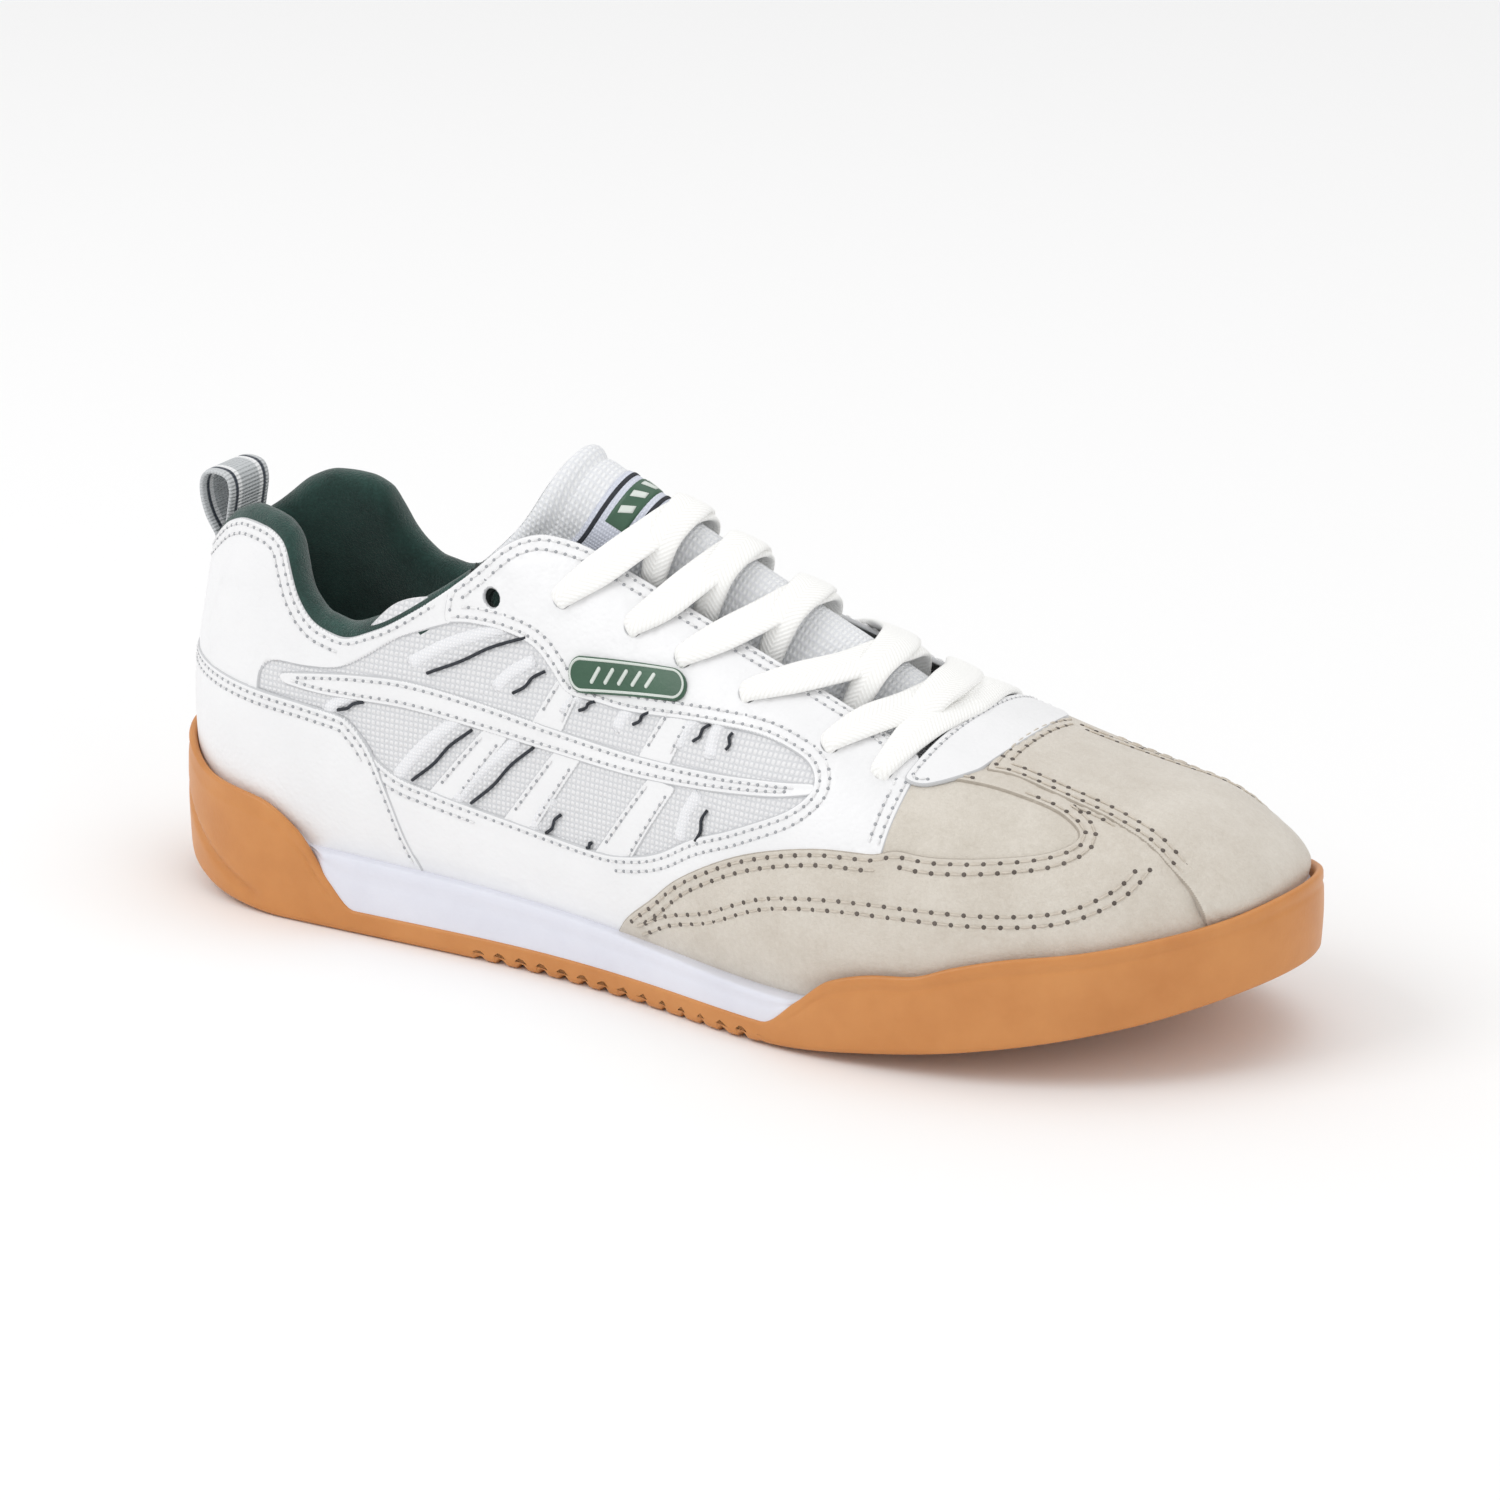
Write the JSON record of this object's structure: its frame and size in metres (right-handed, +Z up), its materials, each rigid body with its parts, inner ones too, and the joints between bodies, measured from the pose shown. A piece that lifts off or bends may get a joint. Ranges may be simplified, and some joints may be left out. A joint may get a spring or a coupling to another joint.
{
  "type": "court shoe",
  "caption": "Low indoor court shoe for the right foot: gum cup sole, white leather and mesh upper, suede forefoot, padded tongue and collar, flat lace.",
  "frame": {"origin": "centre of the shoe's footprint box, on the ground", "axes": "+X towards the toe, +Y towards the inner side of the foot, +Z up"},
  "size_m": [0.3, 0.106, 0.1204],
  "materials": {
    "gum_rubber": "matt",
    "midsole_foam": "matt",
    "white_leather": "semi-matt, fine grain",
    "suede": "brushed nap",
    "mesh_fabric": "open weave",
    "rib_fabric": "matt piping",
    "green_pile": "short pile",
    "lining_fabric": "knit",
    "foam": "open cell",
    "stiffener": "matt",
    "board": "cellulose board",
    "lace_fabric": "flat weave",
    "aglet_plastic": "gloss",
    "badge_plastic": "satin",
    "webbing": "flat weave",
    "label_fabric": "woven",
    "sock_fabric": "brushed knit"
  },
  "bodies": {
    "shoe": {"aglets": "aglet_plastic", "badge": "badge_plastic", "collar_foam": "foam", "collar_lining": "green_pile", "eyelet_tape_inner": "stiffener", "eyelet_tape_outer": "stiffener", "eyestay_inner": "white_leather", "eyestay_outer": "white_leather", "heel_counter": "stiffener", "heel_foxing": "white_leather", "heel_patch": "white_leather", "insole_board": "board", "lace": "lace_fabric", "mesh_inner": "mesh_fabric", "mesh_outer": "mesh_fabric", "mesh_ribs_inner": "rib_fabric", "mesh_ribs_outer": "rib_fabric", "midsole": "midsole_foam", "mudguard_inner": "suede", "mudguard_outer": "suede", "outsole": "gum_rubber", "quarter_lining_inner": "lining_fabric", "quarter_lining_outer": "lining_fabric", "side_cage_inner": "white_leather", "side_cage_outer": "white_leather", "side_foxing_inner": "white_leather", "side_foxing_outer": "white_leather", "sockliner": "sock_fabric", "throat_bridge": "white_leather", "toe_cap": "suede", "toe_puff": "stiffener", "vamp_base": "suede", "vamp_lining": "lining_fabric"},
    "tongue": {"tongue_face": "mesh_fabric", "tongue_foam": "foam", "tongue_lining": "lining_fabric", "tongue_label": "label_fabric"},
    "heel_loop": {"pull_loop": "webbing"}
  },
  "joints": [
    {"name": "tongue_hinge", "type": "hinge", "parent": "shoe", "child": "tongue", "pos_m": [0.067, 0, 0.066], "axis": [0, 1, 0], "range_deg": [-10, 0], "stiffness_Nm_per_rad": 0.6, "springref_deg": 2.86},
    {"name": "loop_hinge", "type": "hinge", "parent": "shoe", "child": "heel_loop", "pos_m": [-0.1402, 0, 0.0848], "axis": [0, 1, 0], "range_deg": [-20, 20], "stiffness_Nm_per_rad": 0.02}
  ]
}
